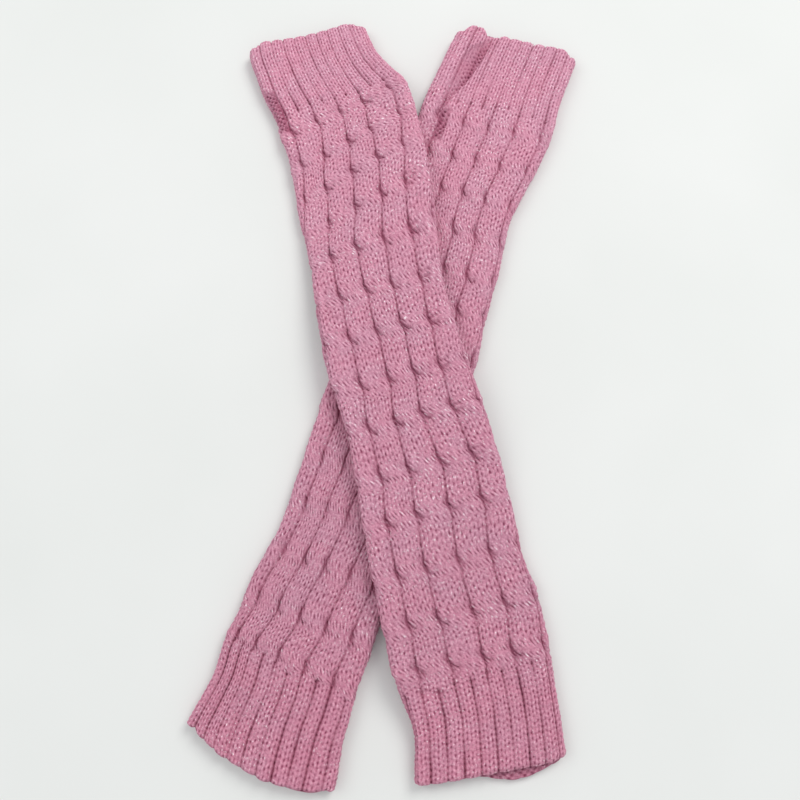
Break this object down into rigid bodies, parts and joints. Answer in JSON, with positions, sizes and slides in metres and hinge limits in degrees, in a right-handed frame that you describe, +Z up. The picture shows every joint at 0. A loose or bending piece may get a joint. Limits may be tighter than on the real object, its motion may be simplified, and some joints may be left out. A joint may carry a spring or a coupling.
{
  "type": "pair of leg warmers",
  "caption": "Pair of cable-knit tube leg warmers with ribbed cuffs, lying flat and crossed, worn over the lower legs for warmth.",
  "frame": {"origin": "middle of the pair's footprint, on the surface that it lies on", "axes": "+Z up; +Y along the table towards the top cuffs; +X to the right seen from above with +Y away"},
  "size_m": [0.212, 0.4284, 0.0185],
  "materials": {
    "knit": "chunky cable and rib knit in soft pink acrylic yarn with pale heather flecks, matt, slightly fuzzy"
  },
  "bodies": {
    "root": {"under_top_cuff": "knit", "under_body": "knit", "under_bottom_cuff": "knit", "over_top_cuff": "knit", "over_body": "knit", "over_bottom_cuff": "knit"}
  },
  "joints": []
}
